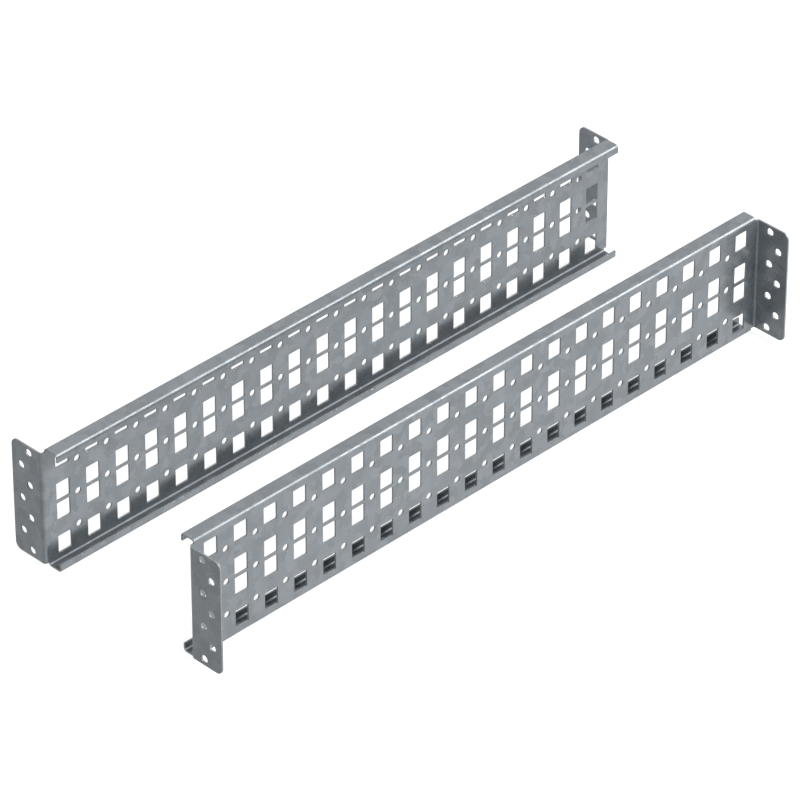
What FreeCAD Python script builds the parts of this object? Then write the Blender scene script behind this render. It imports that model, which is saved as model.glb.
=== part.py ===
import FreeCAD, Part
import os
import Sketcher
from FreeCAD import Rotation, Vector

# A pair of punched cross rails for an enclosure frame, each folded from one piece of sheet steel.
# A rail is a shallow lipped channel with a flat end flange folded off each end of its web, away
# from the channel's open side. The pair stands with the two channels facing each other.
# Millimetres, +Z up, origin midway between the rails on the surface that they stand on.

# Driving dimensions
SIZES = {
    "rail_length": 509.0,  # over the outer faces of the two end flanges
    "rail_height": 90.0,  # over the channel's top and bottom flanges
    "rail_spacing": 134.0,  # from one web's middle to the other's, as the pair stands
    "sheet_thickness": 1.25,
    "bend_radius": 1.25,  # inside of every bend
    "channel_depth": 12.0,  # over the web and the lips
    "lip_height": 6.0,  # from the outside of a channel flange to its lip's edge
    "corner_gap": 0.25,  # from the bend of a channel flange to the top of an end flange
    "channel_setback": 1.25,  # from the bend of an end flange to the end of the channel's flanges
    "flange_reach": 27.5,  # from the web's channel side to an end flange's free edge
    "flange_corner_radius": 5.0,
    "punch_pitch": 25.0,  # from hole to hole, along the rail and up it
    "slot_width": 11.0,
    "slot_height": 13.0,
    "slot_row_offset": 7.5,  # from mid-height to the first row of slots, up and down
    "round_diameter": 4.8,
    "end_margin": 15.0,  # least room from the rail's end to the middle of a column of slots
    "edge_margin": 12.0,  # least room from the rail's top to the middle of a row of holes
    "flange_hole_diameter": 5.5,
    "inner_hole_offset": 11.85,  # from the web's channel side to the first column of flange holes
    "outer_hole_offset": 19.35,  # from the web's channel side to the second column
    "flange_edge_margin": 4.0,  # least room from an end flange's top to the middle of a hole
}

# Sizes that follow from them, as expressions on the sheet.
# Each rail is drawn about the middle of its web: X along it, -Y into the channel, Z up.
SHEET = "sizes.sheet_thickness"
PITCH = "sizes.punch_pitch"
WEB_FACE = f"({SHEET} / 2)"
END_FACE = "(sizes.rail_length / 2)"
TOP = "(sizes.rail_height / 2)"
OUTER_BEND = f"(sizes.bend_radius + {SHEET})"
CHANNEL_END = f"({END_FACE} - {OUTER_BEND} - sizes.channel_setback)"
FLANGE_TOP = f"({TOP} - {OUTER_BEND} - sizes.corner_gap)"
FREE_EDGE = f"(sizes.flange_reach - {WEB_FACE})"
LIP_FACE = f"(sizes.channel_depth - {WEB_FACE})"
LIP_EDGE = f"({TOP} - sizes.lip_height)"

# How many holes fit along the rail and up it
COLUMNS = f"(floor((sizes.rail_length - 2 * sizes.end_margin) / {PITCH}) + 1)"
SLOT_ROWS = f"(floor(({TOP} - sizes.edge_margin - sizes.slot_row_offset) / {PITCH}) + 1)"
ROUND_ROWS = f"(2 * floor(({TOP} - sizes.edge_margin) / {PITCH}) + 1)"
FLANGE_ROOM = f"({FLANGE_TOP} - sizes.flange_edge_margin)"
INNER_HOLES = f"(2 * floor({FLANGE_ROOM} / {PITCH} + 1 / 2))"
OUTER_HOLES = f"(2 * floor({FLANGE_ROOM} / {PITCH}) + 1)"

ROUND_SIDES = 10  # the web's many small round holes have flat sides, so that they have few faces
ALONG = Vector(1, 0, 0)
UPWARD = Vector(0, 0, 1)
TOUCHING = 1e-5
WHOLE_PITCH = -1.0  # a pattern's mark for a gap of one offset, as between all the holes here


def driving_sheet(doc):
    """Puts the driving dimensions into a spreadsheet, one aliased cell each."""
    sheet = doc.addObject("Spreadsheet::Sheet", "sizes")
    for row, (alias, size) in enumerate(SIZES.items(), start=1):
        sheet.set(f"A{row}", alias.replace("_", " "))
        sheet.set(f"B{row}", str(size))
        sheet.setAlias(f"B{row}", alias)
    doc.recompute()


def origin_part(body, role):
    """One of the body's own origin planes or axes."""
    return next(part for part in body.Origin.OriginFeatures if part.Role == role)


def new_sketch(body, name, plane):
    """An empty sketch on one of the body's origin planes."""
    sketch = body.newObject("Sketcher::SketchObject", name)
    sketch.AttachmentSupport = [(origin_part(body, plane), "")]
    sketch.MapMode = "FlatFace"
    return sketch


def dimension(sketch, kind, places, expression):
    """A sketch dimension that follows an expression on the sheet."""
    index = sketch.addConstraint(Sketcher.Constraint(kind, *places, 1.0))
    sketch.setExpression(f"Constraints[{index}]", expression)


def place_point(sketch, geometry, point, x, y):
    """Dimensions a point of the sketch from the sketch's origin."""
    dimension(sketch, "DistanceX", (-1, 1, geometry, point), x)
    dimension(sketch, "DistanceY", (-1, 1, geometry, point), y)


def outline(sketch, corners):
    """A closed outline of straight lines, with each corner dimensioned from the origin."""
    first = sketch.GeometryCount
    count = len(corners)
    rough = [Vector(index, index**2, 0) for index in range(count + 1)]
    for start, end in zip(rough, rough[1:]):
        sketch.addGeometry(Part.LineSegment(start, end))
    for index, (x, y) in enumerate(corners):
        following = first + (index + 1) % count
        sketch.addConstraint(Sketcher.Constraint("Coincident", first + index, 2, following, 1))
        place_point(sketch, first + index, 1, x, y)


def rectangle(sketch, x, y, width, height):
    """A rectangle about a centre."""
    left, right = f"{x} - {width} / 2", f"{x} + {width} / 2"
    low, high = f"{y} - {height} / 2", f"{y} + {height} / 2"
    outline(sketch, [(left, low), (right, low), (right, high), (left, high)])


def many_sided(sketch, x, y, diameter):
    """A regular polygon about a centre, with the middle of each side on a circle of that diameter."""
    corner = f"{diameter} / 2 / cos(180 / {ROUND_SIDES})"
    turns = [f"(360 * {index + 0.5} / {ROUND_SIDES})" for index in range(ROUND_SIDES)]
    outline(sketch, [(f"{x} + {corner} * cos{turn}", f"{y} + {corner} * sin{turn}") for turn in turns])


def circle(sketch, x, y, diameter):
    """A circle about a centre."""
    index = sketch.addGeometry(Part.Circle(Vector(1, 1, 0), UPWARD, 1.0))
    dimension(sketch, "Diameter", (index,), diameter)
    place_point(sketch, index, 3, x, y)


def pad(body, name, sketch, length):
    """Adds material evenly to both sides of a sketch."""
    feature = body.newObject("PartDesign::Pad", name)
    feature.Profile = sketch
    feature.SideType = "Symmetric"
    feature.setExpression("Length", length)
    body.Document.recompute()


def round_edges(body, name, axis, places, radius):
    """Rounds the body's edges that lie along an axis through the given places."""
    points = [Vector(*(float(body.evalExpression(size)) for size in place)) for place in places]
    names = []
    for index, edge in enumerate(body.Tip.Shape.Edges, start=1):
        start = edge.firstVertex().Point
        lies_along = (edge.lastVertex().Point - start).cross(axis).Length < TOUCHING
        if lies_along and any((point - start).cross(axis).Length < TOUCHING for point in points):
            names.append(f"Edge{index}")
    if not names:
        raise RuntimeError(f"{body.Label}: {name} found no edge")
    base = body.Tip
    feature = body.newObject("PartDesign::Fillet", name)
    feature.Base = (base, names)
    feature.setExpression("Radius", radius)
    body.Document.recompute()


def punch(body, name, sketch, through, directions):
    """Punches a sketch through the sheet and repeats it, each direction an axis and a count."""
    solid = body.Tip.Shape.Volume
    pocket = body.newObject("PartDesign::Pocket", name)
    pocket.Profile = sketch
    pocket.SideType = "Symmetric"
    pocket.Refine = False
    pocket.setExpression("Length", through)
    body.Document.recompute()
    pattern = body.newObject("PartDesign::LinearPattern", f"{name}_pattern")
    pattern.Originals = [pocket]
    pattern.Refine = False
    for suffix, (axis, count) in zip(("", "2"), directions):
        setattr(pattern, f"Direction{suffix}", (origin_part(body, axis), [""]))
        setattr(pattern, f"Mode{suffix}", "Spacing")
        copies = int(body.evalExpression(count))
        setattr(pattern, f"Occurrences{suffix}", copies)
        setattr(pattern, f"Spacings{suffix}", [WHOLE_PITCH] * (copies - 1))
        pattern.setExpression(f"Offset{suffix}", PITCH)
        pattern.setExpression(f"Occurrences{suffix}", count)
    body.Tip = pattern
    body.Document.recompute()
    if body.Tip.Shape.Volume >= solid:
        raise RuntimeError(f"{body.Label}: {name} cut nothing")


def first_of(count):
    """Where a row of evenly spaced holes starts, so that it is centred."""
    return f"-({count} - 1) / 2 * {PITCH}"


def fold_end_flanges(body):
    """The web with an end flange folded off each end, seen from above as a wide U."""
    inside = f"({END_FACE} - {SHEET})"
    sketch = new_sketch(body, "strip_plan", "XY_Plane")
    outline(sketch, [
        (f"-{END_FACE}", f"-{WEB_FACE}"),
        (END_FACE, f"-{WEB_FACE}"),
        (END_FACE, FREE_EDGE),
        (inside, FREE_EDGE),
        (inside, WEB_FACE),
        (f"-{inside}", WEB_FACE),
        (f"-{inside}", FREE_EDGE),
        (f"-{END_FACE}", FREE_EDGE),
    ])
    pad(body, "strip", sketch, f"2 * {FLANGE_TOP}")
    outer = [(f"{side}{END_FACE}", f"-{WEB_FACE}", "0") for side in "-+"]
    inner = [(f"{side}{inside}", WEB_FACE, "0") for side in "-+"]
    corners = [("0", FREE_EDGE, f"{side}{FLANGE_TOP}") for side in "-+"]
    round_edges(body, "end_bends_outside", UPWARD, outer, OUTER_BEND)
    round_edges(body, "end_bends_inside", UPWARD, inner, "sizes.bend_radius")
    round_edges(body, "flange_corners", ALONG, corners, "sizes.flange_corner_radius")


def fold_channel(body):
    """The channel's flanges and lips, carried along the web and cut back from the two end bends."""
    inner_top = f"({TOP} - {SHEET})"
    lip_inside = f"({LIP_FACE} - {SHEET})"
    upper = [
        (WEB_FACE, TOP),
        (f"-{LIP_FACE}", TOP),
        (f"-{LIP_FACE}", LIP_EDGE),
        (f"-{lip_inside}", LIP_EDGE),
        (f"-{lip_inside}", inner_top),
        (f"-{WEB_FACE}", inner_top),
    ]
    lower = [(y, f"-{z}") for y, z in reversed(upper)]
    sketch = new_sketch(body, "channel_section", "YZ_Plane")
    outline(sketch, upper + lower)
    pad(body, "channel", sketch, f"2 * {CHANNEL_END}")
    outer = [("0", y, f"{side}{TOP}") for y in (WEB_FACE, f"-{LIP_FACE}") for side in "-+"]
    inner = [("0", y, f"{side}{inner_top}") for y in (f"-{WEB_FACE}", f"-{lip_inside}") for side in "-+"]
    round_edges(body, "channel_bends_outside", ALONG, outer, OUTER_BEND)
    round_edges(body, "channel_bends_inside", ALONG, inner, "sizes.bend_radius")


def punch_end_flanges(body):
    """Two staggered columns of fixing holes through both end flanges."""
    through_both = "2 * sizes.rail_length"
    columns = (("inner", INNER_HOLES), ("outer", OUTER_HOLES))
    for column, count in columns:
        sketch = new_sketch(body, f"{column}_hole_outline", "YZ_Plane")
        offset = f"sizes.{column}_hole_offset - {WEB_FACE}"
        circle(sketch, offset, first_of(count), "sizes.flange_hole_diameter")
        punch(body, f"{column}_holes", sketch, through_both, [("Z_Axis", count)])


def punch_web(body):
    """Rows of upright slots in pairs, and rows of round holes midway between their columns."""
    through_web = f"2 * {SHEET}"
    lowest = f"-(sizes.slot_row_offset + ({SLOT_ROWS} - 1) * {PITCH})"
    sketch = new_sketch(body, "slot_outline", "XZ_Plane")
    for row in ("sizes.slot_row_offset", lowest):
        rectangle(sketch, first_of(COLUMNS), row, "sizes.slot_width", "sizes.slot_height")
    punch(body, "slots", sketch, through_web, [("X_Axis", COLUMNS), ("Z_Axis", SLOT_ROWS)])

    between = f"({COLUMNS} - 1)"
    sketch = new_sketch(body, "round_outline", "XZ_Plane")
    many_sided(sketch, first_of(between), first_of(ROUND_ROWS), "sizes.round_diameter")
    punch(body, "round_holes", sketch, through_web, [("X_Axis", between), ("Z_Axis", ROUND_ROWS)])


def build_rail(doc, label, place, turn):
    """One whole rail, stood on its channel at its place and turned about the upright axis."""
    body = doc.addObject("PartDesign::Body", label)
    body.Label = label
    fold_end_flanges(body)
    fold_channel(body)
    punch_end_flanges(body)
    punch_web(body)
    body.Placement.Rotation = Rotation(UPWARD, turn)
    body.setExpression("Placement.Base.y", place)
    body.setExpression("Placement.Base.z", TOP)
    return body


def check(doc, rails):
    """Stops if any object failed or any rail isn't one sound solid."""
    doc.recompute()
    for item in doc.Objects:
        if {"Invalid", "Error"} & set(item.State):
            raise RuntimeError(f"{item.Label} failed: {item.State}")
    for rail in rails:
        if rail.Shape.isNull() or not rail.Shape.isValid() or len(rail.Shape.Solids) != 1:
            raise RuntimeError(f"{rail.Label} isn't one valid solid")


def main():
    doc = FreeCAD.newDocument("cross_rails")
    driving_sheet(doc)
    rails = [
        build_rail(doc, "rear_rail", "sizes.rail_spacing / 2", 0),
        build_rail(doc, "front_rail", "-sizes.rail_spacing / 2", 180),
    ]
    check(doc, rails)
    os.makedirs("parts", exist_ok=True)
    for rail in rails:
        rail.Shape.exportStep(os.path.join("parts", f"{rail.Label}.step"))
        box = rail.Shape.BoundBox
        print(rail.Label, "volume", round(rail.Shape.Volume, 1), "box", box)


main()
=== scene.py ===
"""A pair of folded, punched and galvanised cross rails for an enclosure, in a plain studio."""

import math

import bpy
import numpy as np
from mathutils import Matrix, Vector


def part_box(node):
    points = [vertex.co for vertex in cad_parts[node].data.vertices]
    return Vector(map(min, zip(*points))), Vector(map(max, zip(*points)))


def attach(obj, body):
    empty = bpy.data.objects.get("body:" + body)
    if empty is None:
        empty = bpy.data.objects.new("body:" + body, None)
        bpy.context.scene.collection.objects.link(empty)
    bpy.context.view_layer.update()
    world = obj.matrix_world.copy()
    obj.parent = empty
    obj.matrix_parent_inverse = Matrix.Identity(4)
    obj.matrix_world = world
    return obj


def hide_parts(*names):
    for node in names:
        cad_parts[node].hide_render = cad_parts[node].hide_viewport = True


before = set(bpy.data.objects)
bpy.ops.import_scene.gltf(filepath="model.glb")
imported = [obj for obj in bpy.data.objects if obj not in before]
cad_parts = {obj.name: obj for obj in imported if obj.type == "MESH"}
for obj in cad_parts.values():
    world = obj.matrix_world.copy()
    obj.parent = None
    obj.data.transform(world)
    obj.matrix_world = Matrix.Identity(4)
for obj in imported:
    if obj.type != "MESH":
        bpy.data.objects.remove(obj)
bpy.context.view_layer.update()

# Units
MM = 0.001

# Sheet and folds, in millimetres
SHEET = 1.25
INSIDE_BEND = 1.25
MIDDLE_BEND = INSIDE_BEND + SHEET / 2
OUTSIDE_BEND = INSIDE_BEND + SHEET
QUARTER_ARC = MIDDLE_BEND * math.pi / 2
CHANNEL_DEPTH = 12.0
LIP_HEIGHT = 6.0
CORNER_GAP = 0.25
CHANNEL_SETBACK = 1.25
FLANGE_REACH = 27.5
FLANGE_CORNER = 5.0

# Punching, in millimetres
PITCH = 25.0
SLOT_COLUMNS = 20
SLOT_HALF_WIDTH = 5.5
SLOT_HALF_HEIGHT = 6.5
SLOT_ROW_OFFSET = 7.5
SLOT_CORNER = 0.5
ROUND_ROWS = 3
ROUND_RADIUS = 2.4
FLANGE_HOLE_RADIUS = 2.75
INNER_HOLES = 4
OUTER_HOLES = 3
INNER_HOLE_OFFSET = 11.85
OUTER_HOLE_OFFSET = 19.35

# Grid of the flat blank, in millimetres
BLOCK_HALF = 2.4
BLOCK_STEP = 1.0
BLOCK_REACH = 4.5
ARC_STEPS = 6
CORNER_STEPS = 4
SEAM = 0.25
LINE_DECIMALS = 6
TINY = 1e-9

# Edges of the finished sheet, in millimetres and degrees
EDGE_BREAK = 0.1
BREAK_ANGLE = 60.0
CREASE_ANGLE = 40.0
CUT_EDGE_SLOT = 1

# Studio, in metres and degrees, with the lens in millimetres
AIM = (-14.25 * MM, -5.54 * MM, 45.26 * MM)
CAMERA_DISTANCE = 3.7886
CAMERA_AZIMUTH = -44.83
CAMERA_ELEVATION = 35.09
CAMERA_LENS = 268.13
CAMERA_SENSOR = 36.0
CAMERA_REACH = 100.0
FLOOR_HALF_SIZE = 6.0
LIGHT_DISTANCE = 3.0
KEY_AZIMUTH = 46.0
KEY_ELEVATION = 36.0
KEY_SIZE = 0.9
KEY_POWER = 62.0
FILL_AZIMUTH = 14.0
FILL_ELEVATION = 45.0
FILL_ANGLE = 10.0
FILL_STRENGTH = 2.4
BACK_AZIMUTH = 200.0
BACK_ELEVATION = 43.0
SURROUND_GREYS = ((0.05, 0.79), (0.42, 0.25), (0.58, 0.48), (0.84, 0.74))
FLOOR_GREY = 0.3
FLOOR_GLOW = 0.84

# Zinc coating
ZINC_METAL_SHARE = 0.8
ZINC_TONES = (
    (0.2, (0.256, 0.28, 0.3)),
    (0.5, (0.29, 0.317, 0.34)),
    (0.85, (0.33, 0.36, 0.385)),
)
ZINC_ROUGHNESS = (0.2, 0.3)
BEND_DULLING = 0.27
INSIDE_STRAIN = 1.45
CRYSTALS_PER_METRE = 150.0
FEATHER_REACH = 7.0 * MM
CLOUD_SHARE = 0.45
GRAIN_STRENGTH = 0.08
GRAIN_DEPTH = 0.2 * MM

# Cut edges of the strip
EDGE_METAL_SHARE = 0.25
EDGE_TONES = (
    (0.3, (0.2, 0.212, 0.22)),
    (0.7, (0.27, 0.282, 0.29)),
)
EDGE_ROUGHNESS = (0.35, 0.5)

# Noise: waves per metre, layers of detail and strength of the finer layers
FEATHERS = (260.0, 3.0, 0.6)
CLOUDS = (45.0, 3.0, 0.55)
GRAIN = (900.0, 2.0, 0.6)
MOTTLE = (700.0, 2.0, 0.5)

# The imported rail, in millimetres
rail_low, rail_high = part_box("rear_rail")
RAIL_LENGTH = (rail_high.x - rail_low.x) / MM
RAIL_HEIGHT = (rail_high.z - rail_low.z) / MM
WEB_PLACE = rail_high.y / MM - (FLANGE_REACH - SHEET / 2)
MID_HEIGHT = (rail_high.z + rail_low.z) / 2 / MM

# Distances along the flat blank, from its middle
WEB_FLAT = RAIL_HEIGHT / 2 - OUTSIDE_BEND
FLANGE_START = WEB_FLAT + QUARTER_ARC
LIP_BEND = FLANGE_START + CHANNEL_DEPTH - 2 * OUTSIDE_BEND
LIP_START = LIP_BEND + QUARTER_ARC
LIP_EDGE = LIP_START + LIP_HEIGHT - OUTSIDE_BEND
END_FLAT = RAIL_LENGTH / 2 - OUTSIDE_BEND
END_START = END_FLAT + QUARTER_ARC
END_EDGE = END_START + FLANGE_REACH - SHEET - INSIDE_BEND
CHANNEL_END = END_FLAT - CHANNEL_SETBACK
FLANGE_TOP = WEB_FLAT - CORNER_GAP


def pitched(count):
    """Places of that many holes at the pitch, evenly about the middle."""
    return (np.arange(count) - (count - 1) / 2) * PITCH


# Places of the punched holes on the flat blank
SLOT_X = pitched(SLOT_COLUMNS)
SLOT_Z = np.array([-PITCH - SLOT_ROW_OFFSET, -SLOT_ROW_OFFSET, SLOT_ROW_OFFSET, PITCH + SLOT_ROW_OFFSET])
ROUND_X = pitched(SLOT_COLUMNS - 1)
ROUND_Z = pitched(ROUND_ROWS)
INNER_X = END_START + INNER_HOLE_OFFSET - SHEET - INSIDE_BEND
OUTER_X = END_START + OUTER_HOLE_OFFSET - SHEET - INSIDE_BEND
INNER_Z = pitched(INNER_HOLES)
OUTER_Z = pitched(OUTER_HOLES)


def beside(centres, offsets):
    """Every centre shifted by every offset, both ways."""
    shifts = np.concatenate([np.negative(offsets), offsets])
    return np.add.outer(np.atleast_1d(centres), shifts).ravel()


def both_ways(lines):
    """The lines and their mirror images about the middle, sorted, each once."""
    lines = np.concatenate([np.negative(lines), lines])
    return np.unique(np.round(lines, LINE_DECIMALS))


def lines_along():
    """Grid lines across the blank's length: the sides of the slots, blocks round the holes, the end bends
    and the corners of the end flanges."""
    slot_sides = beside(SLOT_X, [SLOT_HALF_WIDTH - SLOT_CORNER, SLOT_HALF_WIDTH])
    blocks = beside(ROUND_X, [0.0, BLOCK_STEP, BLOCK_HALF, BLOCK_REACH])
    bend = np.linspace(END_FLAT, END_START, ARC_STEPS + 1)
    seams = [CHANNEL_END - SEAM, CHANNEL_END, END_START + SEAM]
    flange_blocks = beside([INNER_X, OUTER_X], [0.0, BLOCK_STEP, BLOCK_HALF])
    corner_turns = np.linspace(0.0, math.pi / 4, CORNER_STEPS + 1)
    corner = END_EDGE - FLANGE_CORNER * (1 - np.tan(corner_turns))
    return both_ways(np.concatenate([slot_sides, blocks, bend, seams, flange_blocks, corner]))


def lines_across():
    """Grid lines along the blank's length: the edges of the slots, blocks round the holes, the channel's
    bends and the edges of the lips."""
    slot_edges = beside(SLOT_Z, [SLOT_HALF_HEIGHT - SLOT_CORNER, SLOT_HALF_HEIGHT])
    blocks = beside(np.concatenate([ROUND_Z, INNER_Z]), [0.0, BLOCK_STEP, BLOCK_HALF, BLOCK_REACH])
    corner = [FLANGE_TOP - FLANGE_CORNER, FLANGE_TOP]
    web_bend = np.linspace(WEB_FLAT, FLANGE_START, ARC_STEPS + 1)
    lip_bend = np.linspace(LIP_BEND, LIP_START, ARC_STEPS + 1)
    seams = [FLANGE_START + SEAM, LIP_BEND - SEAM, LIP_START + SEAM, LIP_EDGE]
    return both_ways(np.concatenate([slot_edges, blocks, corner, web_bend, lip_bend, seams]))


def offset_from(values, centres):
    """How far each value lies from the nearest of the centres."""
    gaps = np.subtract.outer(values, centres)
    nearest = np.abs(gaps).argmin(-1)
    return np.take_along_axis(gaps, nearest[..., None], -1)[..., 0]


def hole_rows():
    """The round holes as (columns, rows, radius): one kind in the web and two in each end flange."""
    return [
        (ROUND_X, ROUND_Z, ROUND_RADIUS),
        (np.array([-INNER_X, INNER_X]), INNER_Z, FLANGE_HOLE_RADIUS),
        (np.array([-OUTER_X, OUTER_X]), OUTER_Z, FLANGE_HOLE_RADIUS),
    ]


def kept_cells(along, across):
    """True for the cells of the grid that are sheet: not in a slot, not in the block of a round hole, and
    not in the notch cut from each corner of the blank so that it can be folded."""
    u, v = np.meshgrid((along[1:] + along[:-1]) / 2, (across[1:] + across[:-1]) / 2, indexing="ij")
    slot_u = np.abs(offset_from(u, SLOT_X))
    slot_v = np.abs(offset_from(v, SLOT_Z))
    gone = (slot_u < SLOT_HALF_WIDTH) & (slot_v < SLOT_HALF_HEIGHT)
    for columns, rows, _ in hole_rows():
        gone |= np.maximum(np.abs(offset_from(u, columns)), np.abs(offset_from(v, rows))) < BLOCK_HALF
    gone |= (np.abs(u) > CHANNEL_END) & (np.abs(v) > FLANGE_TOP)
    return ~gone


def rounded(u, v):
    """The blank's points with its holes made round and its corners rounded. Squares about a hole's centre
    become circles: a point moves along its ray by the ratio of its larger offset to its distance, fully
    at the hole's own square and not at all at the reach of its block. A flange's corner is a quarter of
    the same map, and a slot's corner point moves in to the middle of its small arc."""
    for columns, rows, radius in hole_rows():
        du = offset_from(u, columns)
        dv = offset_from(v, rows)
        square = np.maximum(np.abs(du), np.abs(dv))
        share = np.clip((BLOCK_REACH - square) / (BLOCK_REACH - BLOCK_HALF), 0.0, 1.0)
        circle = radius / BLOCK_HALF * square / np.maximum(np.hypot(du, dv), TINY)
        stretch = share * (circle - 1)
        u = u + du * stretch
        v = v + dv * stretch
    du = np.maximum(np.abs(u) - (END_EDGE - FLANGE_CORNER), 0.0)
    dv = np.maximum(np.abs(v) - (FLANGE_TOP - FLANGE_CORNER), 0.0)
    turn = np.maximum(du, dv) / np.maximum(np.hypot(du, dv), TINY) - 1
    at_corner = (du > 0) & (dv > 0)
    u = u + np.sign(u) * du * turn * at_corner
    v = v + np.sign(v) * dv * turn * at_corner
    su = offset_from(u, SLOT_X)
    sv = offset_from(v, SLOT_Z)
    at_corner = np.isclose(np.abs(su), SLOT_HALF_WIDTH) & np.isclose(np.abs(sv), SLOT_HALF_HEIGHT)
    inset = SLOT_CORNER * (1 - math.sqrt(0.5)) * at_corner
    return u - np.sign(su) * inset, v - np.sign(sv) * inset


def folded(distance, bends):
    """Carries a distance along a folded line: straight runs joined by quarter arcs, each starting at one of
    the bends. Returns how far the line has gone ahead, how far to the side, and how far it has turned."""
    starts = np.array(bends)
    ahead = np.minimum(distance, starts[0])
    aside = np.zeros_like(distance)
    turned = np.zeros_like(distance)
    stops = np.append(starts[1:], np.inf)
    for number, (start, stop) in enumerate(zip(starts, stops)):
        angle = np.clip((distance - start) / MIDDLE_BEND, 0.0, math.pi / 2)
        run = np.clip(distance, start + QUARTER_ARC, stop) - start - QUARTER_ARC
        forward = MIDDLE_BEND * np.sin(angle)
        sideways = MIDDLE_BEND * (1 - np.cos(angle)) + run
        heading = number * math.pi / 2
        ahead = ahead + forward * math.cos(heading) - sideways * math.sin(heading)
        aside = aside + forward * math.sin(heading) + sideways * math.cos(heading)
        turned = turned + angle
    return ahead, aside, turned


def sheet_skins(u, v):
    """Folds the flat blank and gives its two skins. The lines across the blank fold twice towards the
    channel, the lines along it fold once the other way, and each skin lies half a sheet from the middle,
    along the normal that the two turns give."""
    x, back, end_turn = folded(np.abs(u), [END_FLAT])
    z, front, channel_turn = folded(np.abs(v), [WEB_FLAT, LIP_BEND])
    middle = np.stack([np.sign(u) * x, back - front, np.sign(v) * z], -1)
    normal = np.stack([
        np.sign(u) * np.sin(end_turn),
        -np.cos(end_turn) * np.cos(channel_turn),
        -np.sign(v) * np.sin(channel_turn),
    ], -1)
    return middle + normal * SHEET / 2, middle - normal * SHEET / 2


def coating_strain(u, v):
    """How far folding strains the zinc on each of the two skins: the sine of twice the turn, which is 0 on
    the flats and 1 midway round the outside of each bend. It is more on the inside, where the zinc is
    crushed: the front skin is inside the channel's bends, and the back skin inside the end bends."""
    end_turn = folded(np.abs(u), [END_FLAT])[2]
    channel_turn = folded(np.abs(v), [WEB_FLAT, LIP_BEND])[2]
    at_end = np.abs(np.sin(2 * end_turn))
    at_channel = np.abs(np.sin(2 * channel_turn))
    front = np.maximum(at_end, at_channel * INSIDE_STRAIN)
    back = np.maximum(at_end * INSIDE_STRAIN, at_channel)
    return np.concatenate([front.ravel(), back.ravel()])


def sheet_faces(keep):
    """Quads of both skins over the kept cells, and the rim that closes them: a directed edge of the first
    skin that no neighbour runs the other way is an edge of the sheet, and carries one rim quad."""
    count = (keep.shape[0] + 1, keep.shape[1] + 1)
    number = np.arange(count[0] * count[1]).reshape(count)
    corners = np.stack([number[:-1, :-1], number[1:, :-1], number[1:, 1:], number[:-1, 1:]], -1)[keep]
    other = number.size
    first = np.concatenate([corners[:, k] for k in range(4)])
    second = np.concatenate([corners[:, (k + 1) % 4] for k in range(4)])
    open_edge = ~np.isin(first * other + second, second * other + first)
    first, second = first[open_edge], second[open_edge]
    rim = np.stack([second, first, first + other, second + other], -1)
    return np.concatenate([corners, corners[:, ::-1] + other, rim]), len(rim)


def rail(name, place, turned):
    """One rail: the blank's grid, punched, rounded, folded and set in its place, half turned or not."""
    along = lines_along()
    across = lines_across()
    u, v = rounded(*np.meshgrid(along, across, indexing="ij"))
    front, back = sheet_skins(u, v)
    points = np.concatenate([front.reshape(-1, 3), back.reshape(-1, 3)])
    strain = coating_strain(u, v)
    faces, rim_count = sheet_faces(kept_cells(along, across))
    used, faces = np.unique(faces, return_inverse=True)
    faces = faces.reshape(-1, 4)
    facing = -1.0 if turned else 1.0
    points = points[used] * [facing, facing, 1.0] + [0.0, place, MID_HEIGHT]
    mesh = bpy.data.meshes.new(name)
    mesh.from_pydata(points * MM, [], faces.tolist())
    finish = np.zeros(len(faces), np.int32)
    finish[-rim_count:] = CUT_EDGE_SLOT
    mesh.polygons.foreach_set("material_index", finish)
    strained = mesh.attributes.new("coating_strain", "FLOAT", "POINT")
    strained.data.foreach_set("value", strain[used])
    mesh.shade_smooth()
    mesh.set_sharp_from_angle(angle=math.radians(CREASE_ANGLE))
    piece = bpy.data.objects.new(name, mesh)
    bpy.context.scene.collection.objects.link(piece)
    edge_break = piece.modifiers.new("edge_break", "BEVEL")
    edge_break.width = EDGE_BREAK * MM
    edge_break.segments = 1
    edge_break.limit_method = "ANGLE"
    edge_break.angle_limit = math.radians(BREAK_ANGLE)
    edge_break.harden_normals = True
    return piece


def node(tree, kind, **inputs):
    """A shader node with its sockets set by name, spaces written as underscores."""
    made = tree.nodes.new(kind)
    for socket, value in inputs.items():
        made.inputs[socket.replace("_", " ")].default_value = value
    return made


def ramp(tree, value, stops):
    """A colour ramp over value, with stops given as (position, colour)."""
    made = tree.nodes.new("ShaderNodeValToRGB")
    elements = made.color_ramp.elements
    while len(elements) < len(stops):
        elements.new(0.5)
    for element, (position, colour) in zip(elements, stops):
        element.position = position
        element.color = (*colour, 1.0)
    tree.links.new(value, made.inputs["Fac"])
    return made.outputs["Color"]


def mapped(tree, value, low, high):
    """Value from 0 to 1 brought to the range low to high."""
    made = node(tree, "ShaderNodeMapRange", To_Min=low, To_Max=high)
    tree.links.new(value, made.inputs["Value"])
    return made.outputs["Result"]


def noise(tree, where, waves, layers, strength):
    """Noise at that many waves per metre, with finer layers of that strength."""
    made = node(tree, "ShaderNodeTexNoise", Scale=waves, Detail=layers, Roughness=strength)
    tree.links.new(where, made.inputs["Vector"])
    return made


def metal(name, metal_share):
    """A new metal: its material, node tree and shader, and the object's coordinates for patterns."""
    material = bpy.data.materials.new(name)
    material.use_nodes = True
    tree = material.node_tree
    shader = tree.nodes["Principled BSDF"]
    shader.inputs["Metallic"].default_value = metal_share
    where = tree.nodes.new("ShaderNodeTexCoord").outputs["Object"]
    return material, tree, shader, where


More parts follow.
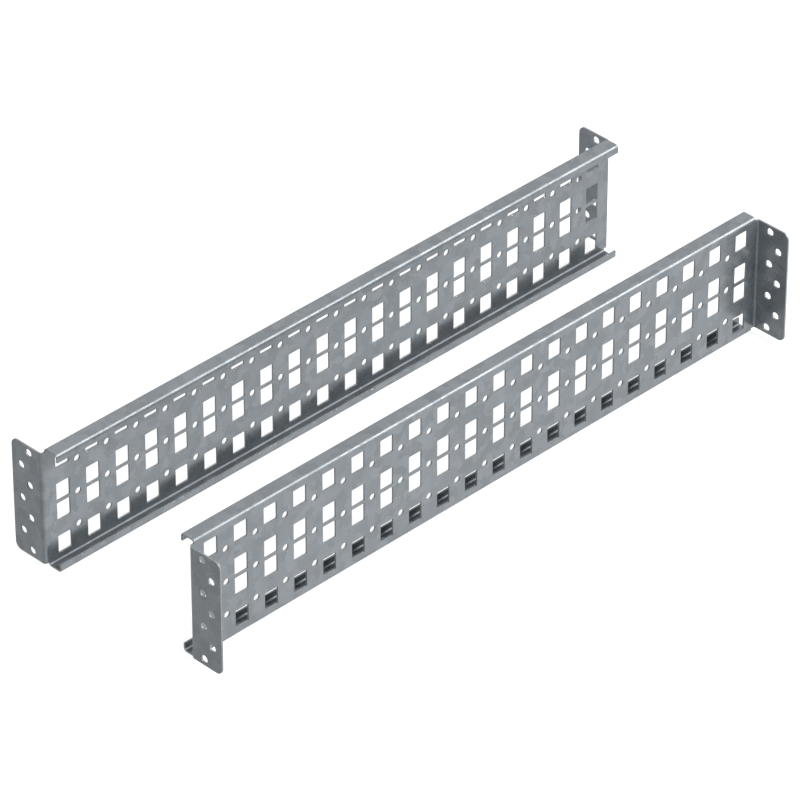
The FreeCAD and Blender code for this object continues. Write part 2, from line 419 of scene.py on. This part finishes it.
def galvanised_zinc():
    """Hot-dip zinc on strip: pale blue-grey metal, with crystals of slightly different tone and gloss whose
    borders are ragged, a soft cloudy bloom over them and a fine grain. It is duller round the bends, where
    folding has strained it."""
    material, tree, shader, where = metal("galvanised_zinc", ZINC_METAL_SHARE)
    cloud = noise(tree, where, *CLOUDS)
    grain = noise(tree, where, *GRAIN)
    feathers = noise(tree, where, *FEATHERS)
    crystals = node(tree, "ShaderNodeTexVoronoi", Scale=CRYSTALS_PER_METRE)
    ragged = tree.nodes.new("ShaderNodeVectorMath")
    ragged.operation = "MULTIPLY_ADD"
    ragged.inputs[1].default_value = (FEATHER_REACH, FEATHER_REACH, FEATHER_REACH)
    tree.links.new(feathers.outputs["Color"], ragged.inputs[0])
    tree.links.new(where, ragged.inputs[2])
    tree.links.new(ragged.outputs["Vector"], crystals.inputs["Vector"])
    split = tree.nodes.new("ShaderNodeSeparateColor")
    tree.links.new(crystals.outputs["Color"], split.inputs["Color"])
    tone = tree.nodes.new("ShaderNodeMix")
    tone.data_type = "FLOAT"
    tone.inputs["Factor"].default_value = CLOUD_SHARE
    tree.links.new(split.outputs["Red"], tone.inputs["A"])
    tree.links.new(cloud.outputs["Fac"], tone.inputs["B"])
    colour = ramp(tree, tone.outputs["Result"], ZINC_TONES)
    tree.links.new(colour, shader.inputs["Base Color"])
    gloss = mapped(tree, split.outputs["Green"], *ZINC_ROUGHNESS)
    strain = tree.nodes.new("ShaderNodeAttribute")
    strain.attribute_name = "coating_strain"
    dulled = tree.nodes.new("ShaderNodeMath")
    dulled.operation = "MULTIPLY_ADD"
    dulled.inputs[1].default_value = BEND_DULLING
    tree.links.new(strain.outputs["Fac"], dulled.inputs[0])
    tree.links.new(gloss, dulled.inputs[2])
    tree.links.new(dulled.outputs["Value"], shader.inputs["Roughness"])
    relief = node(tree, "ShaderNodeBump", Strength=GRAIN_STRENGTH, Distance=GRAIN_DEPTH)
    tree.links.new(grain.outputs["Fac"], relief.inputs["Height"])
    tree.links.new(relief.outputs["Normal"], shader.inputs["Normal"])
    return material


def sheared_edge():
    """The cut edge of the strip: bare steel with a fine mottle that the shear leaves."""
    material, tree, shader, where = metal("sheared_edge", EDGE_METAL_SHARE)
    mottle = noise(tree, where, *MOTTLE)
    colour = ramp(tree, mottle.outputs["Fac"], EDGE_TONES)
    tree.links.new(colour, shader.inputs["Base Color"])
    gloss = mapped(tree, mottle.outputs["Fac"], *EDGE_ROUGHNESS)
    tree.links.new(gloss, shader.inputs["Roughness"])
    return material


def toward(azimuth, elevation):
    """Unit direction from the object, where azimuth 0 is -Y, 90 is +X, and elevation is above the floor."""
    a = math.radians(azimuth)
    e = math.radians(elevation)
    return Vector((math.sin(a) * math.cos(e), -math.cos(a) * math.cos(e), math.sin(e)))


def facing_aim(made, direction, distance):
    """Sets a camera or light at that distance from the aim point, looking at it."""
    made.location = Vector(AIM) + direction * distance
    made.rotation_euler = (-direction).to_track_quat("-Z", "Y").to_euler()
    bpy.context.scene.collection.objects.link(made)


def studio_camera():
    """The camera, at the picture's viewing angle and width."""
    lens = bpy.data.cameras.new("studio_camera")
    lens.lens = CAMERA_LENS
    lens.sensor_width = CAMERA_SENSOR
    lens.clip_end = CAMERA_REACH
    camera = bpy.data.objects.new("studio_camera", lens)
    facing_aim(camera, toward(CAMERA_AZIMUTH, CAMERA_ELEVATION), CAMERA_DISTANCE)
    bpy.context.scene.camera = camera


def studio_light():
    """One soft box high on the right, whose light ends where it first lands, a soft fill from the front that
    the metal doesn't mirror, and a grey surround that is darkest in a band midway between its pale front
    and its pale back."""
    lamp = bpy.data.lights.new("soft_box", "AREA")
    lamp.shape = "SQUARE"
    lamp.size = KEY_SIZE
    lamp.energy = KEY_POWER
    lamp.cycles.max_bounces = 0
    lamp.cycles.use_multiple_importance_sampling = False
    soft_box = bpy.data.objects.new("soft_box", lamp)
    facing_aim(soft_box, toward(KEY_AZIMUTH, KEY_ELEVATION), LIGHT_DISTANCE)
    fill = bpy.data.lights.new("front_fill", "SUN")
    fill.energy = FILL_STRENGTH
    fill.angle = math.radians(FILL_ANGLE)
    front_fill = bpy.data.objects.new("front_fill", fill)
    front_fill.visible_glossy = False
    facing_aim(front_fill, toward(FILL_AZIMUTH, FILL_ELEVATION), LIGHT_DISTANCE)
    world = bpy.data.worlds.new("surround")
    world.use_nodes = True
    bpy.context.scene.world = world
    tree = world.node_tree
    where = tree.nodes.new("ShaderNodeTexCoord").outputs["Generated"]
    side = tree.nodes.new("ShaderNodeVectorMath")
    side.operation = "DOT_PRODUCT"
    side.inputs[1].default_value = toward(BACK_AZIMUTH, BACK_ELEVATION)
    tree.links.new(where, side.inputs[0])
    share = node(tree, "ShaderNodeMapRange", From_Min=-1.0, From_Max=1.0)
    tree.links.new(side.outputs["Value"], share.inputs["Value"])
    greys = [(position, (grey, grey, grey)) for position, grey in SURROUND_GREYS]
    glow = ramp(tree, share.outputs["Result"], greys)
    tree.links.new(glow, tree.nodes["Background"].inputs["Color"])


def studio_floor():
    """A plain pale floor, lit from within so that shadows stay faint, and not mirrored in the metal."""
    half = FLOOR_HALF_SIZE
    mesh = bpy.data.meshes.new("floor")
    corners = [(-half, -half, 0.0), (half, -half, 0.0), (half, half, 0.0), (-half, half, 0.0)]
    mesh.from_pydata(corners, [], [(0, 1, 2, 3)])
    material = bpy.data.materials.new("pale_floor")
    material.use_nodes = True
    shader = material.node_tree.nodes["Principled BSDF"]
    shader.inputs["Base Color"].default_value = (FLOOR_GREY, FLOOR_GREY, FLOOR_GREY, 1.0)
    shader.inputs["Roughness"].default_value = 1.0
    shader.inputs["Specular IOR Level"].default_value = 0.0
    shader.inputs["Emission Color"].default_value = (1.0, 1.0, 1.0, 1.0)
    shader.inputs["Emission Strength"].default_value = FLOOR_GLOW
    mesh.materials.append(material)
    floor = bpy.data.objects.new("floor", mesh)
    bpy.context.scene.collection.objects.link(floor)
    floor.visible_glossy = False


zinc = galvanised_zinc()
edge = sheared_edge()
for cad_node, place, half_turned in (("rear_rail", WEB_PLACE, False), ("front_rail", -WEB_PLACE, True)):
    piece = rail(cad_node + "_sheet", place, half_turned)
    piece.data.materials.append(zinc)
    piece.data.materials.append(edge)
    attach(piece, "root")
    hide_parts(cad_node)

studio_floor()
studio_light()
studio_camera()
bpy.context.scene.view_settings.view_transform = "Standard"
